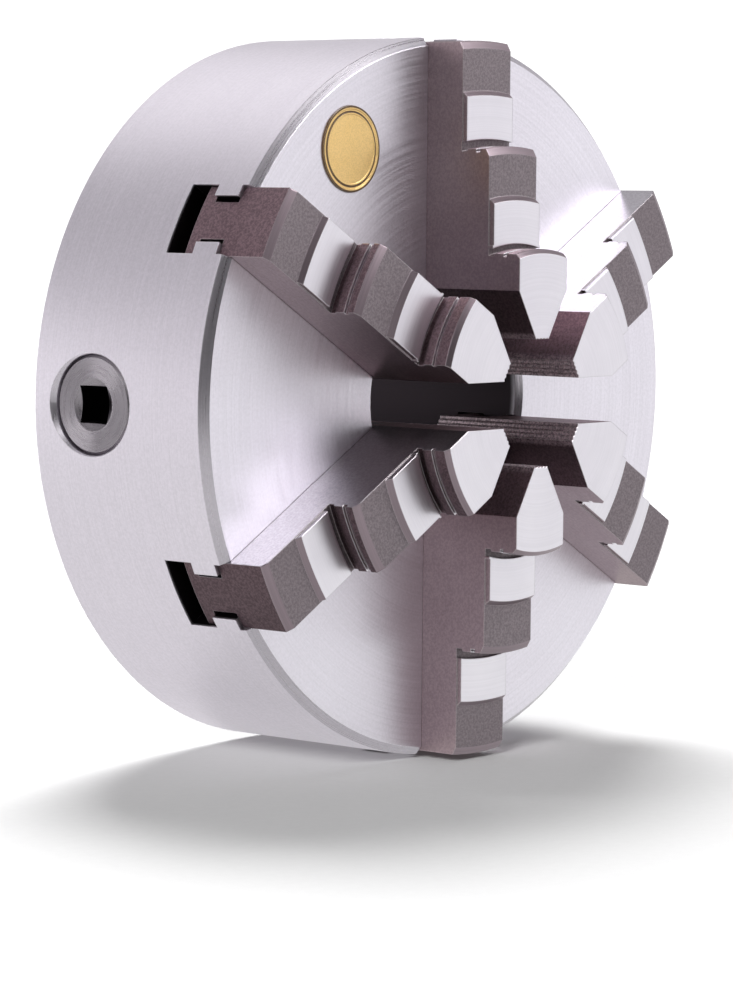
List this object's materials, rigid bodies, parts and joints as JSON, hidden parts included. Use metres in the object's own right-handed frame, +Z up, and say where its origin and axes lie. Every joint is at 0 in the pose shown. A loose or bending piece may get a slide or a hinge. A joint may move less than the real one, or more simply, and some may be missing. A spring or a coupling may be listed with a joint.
{
  "type": "lathe chuck",
  "caption": "Round self-centring scroll chuck for a lathe: stepped jaws slide in radial slots, driven by an internal scroll plate and bevel pinions with square key sockets in the rim.",
  "frame": {"origin": "centre of the rear mounting face, on the chuck axis", "axes": "+Y runs along the chuck axis towards the lathe spindle, so the jaws face -Y; +Z is up and one jaw points that way; +X is right when looking at the jaws"},
  "size_m": [0.25, 0.1211, 0.25],
  "materials": {
    "body_steel": "fine ground and turned",
    "jaw_steel": "hardened and ground, with darker as-machined sides",
    "scroll_steel": "machined and oiled",
    "pinion_steel": "turned",
    "dark_steel": "black oxide",
    "badge_brass": "satin, lacquered"
  },
  "bodies": {
    "chuck_body": {"body": "body_steel", "back_plate": "body_steel", "pinion_retainer_1": "dark_steel", "pinion_retainer_2": "dark_steel", "pinion_retainer_3": "dark_steel", "cover_screw_1": "dark_steel", "cover_screw_2": "dark_steel", "cover_screw_3": "dark_steel", "cover_screw_4": "dark_steel", "cover_screw_5": "dark_steel", "cover_screw_6": "dark_steel", "dowel_pin_1": "dark_steel", "dowel_pin_2": "dark_steel", "badge": "badge_brass"},
    "scroll": {"scroll_plate": "scroll_steel"},
    "jaw_1": {"jaw_1": "jaw_steel"},
    "jaw_2": {"jaw_2": "jaw_steel"},
    "jaw_3": {"jaw_3": "jaw_steel"},
    "jaw_4": {"jaw_4": "jaw_steel"},
    "jaw_5": {"jaw_5": "jaw_steel"},
    "jaw_6": {"jaw_6": "jaw_steel"},
    "pinion_1": {"pinion_1": "pinion_steel"},
    "pinion_2": {"pinion_2": "pinion_steel"},
    "pinion_3": {"pinion_3": "pinion_steel"}
  },
  "joints": [
    {"name": "scroll_turn", "type": "hinge", "parent": "chuck_body", "child": "scroll", "pos_m": [0, 0, 0], "axis": [0, 1, 0], "range_deg": [-540, 540]},
    {"name": "jaw_slide_1", "type": "slide", "parent": "chuck_body", "child": "jaw_1", "axis": [0, 0, 1], "range_m": [-0.015, 0.015]},
    {"name": "jaw_slide_2", "type": "slide", "parent": "chuck_body", "child": "jaw_2", "axis": [-0.866, 0, 0.5], "range_m": [-0.015, 0.015]},
    {"name": "jaw_slide_3", "type": "slide", "parent": "chuck_body", "child": "jaw_3", "axis": [-0.866, 0, -0.5], "range_m": [-0.015, 0.015]},
    {"name": "jaw_slide_4", "type": "slide", "parent": "chuck_body", "child": "jaw_4", "axis": [0, 0, -1], "range_m": [-0.015, 0.015]},
    {"name": "jaw_slide_5", "type": "slide", "parent": "chuck_body", "child": "jaw_5", "axis": [0.866, 0, -0.5], "range_m": [-0.015, 0.015]},
    {"name": "jaw_slide_6", "type": "slide", "parent": "chuck_body", "child": "jaw_6", "axis": [0.866, 0, 0.5], "range_m": [-0.015, 0.015]},
    {"name": "pinion_turn_1", "type": "hinge", "parent": "chuck_body", "child": "pinion_1", "pos_m": [-0.114, -0.028, 0], "axis": [-1, 0, 0], "range_deg": [-3780, 3780]},
    {"name": "pinion_turn_2", "type": "hinge", "parent": "chuck_body", "child": "pinion_2", "pos_m": [0.057, -0.028, -0.09873], "axis": [0.5, 0, -0.866], "range_deg": [-3780, 3780]},
    {"name": "pinion_turn_3", "type": "hinge", "parent": "chuck_body", "child": "pinion_3", "pos_m": [0.057, -0.028, 0.09873], "axis": [0.5, 0, 0.866], "range_deg": [-3780, 3780]}
  ],
  "couplings": [
    {"joint": "jaw_slide_1", "follows": "scroll_turn", "m_per_rad": 0.0015915},
    {"joint": "jaw_slide_2", "follows": "scroll_turn", "m_per_rad": 0.0015915},
    {"joint": "jaw_slide_3", "follows": "scroll_turn", "m_per_rad": 0.0015915},
    {"joint": "jaw_slide_4", "follows": "scroll_turn", "m_per_rad": 0.0015915},
    {"joint": "jaw_slide_5", "follows": "scroll_turn", "m_per_rad": 0.0015915},
    {"joint": "jaw_slide_6", "follows": "scroll_turn", "m_per_rad": 0.0015915},
    {"joint": "pinion_turn_1", "follows": "scroll_turn", "ratio": 7},
    {"joint": "pinion_turn_2", "follows": "scroll_turn", "ratio": 7},
    {"joint": "pinion_turn_3", "follows": "scroll_turn", "ratio": 7}
  ]
}
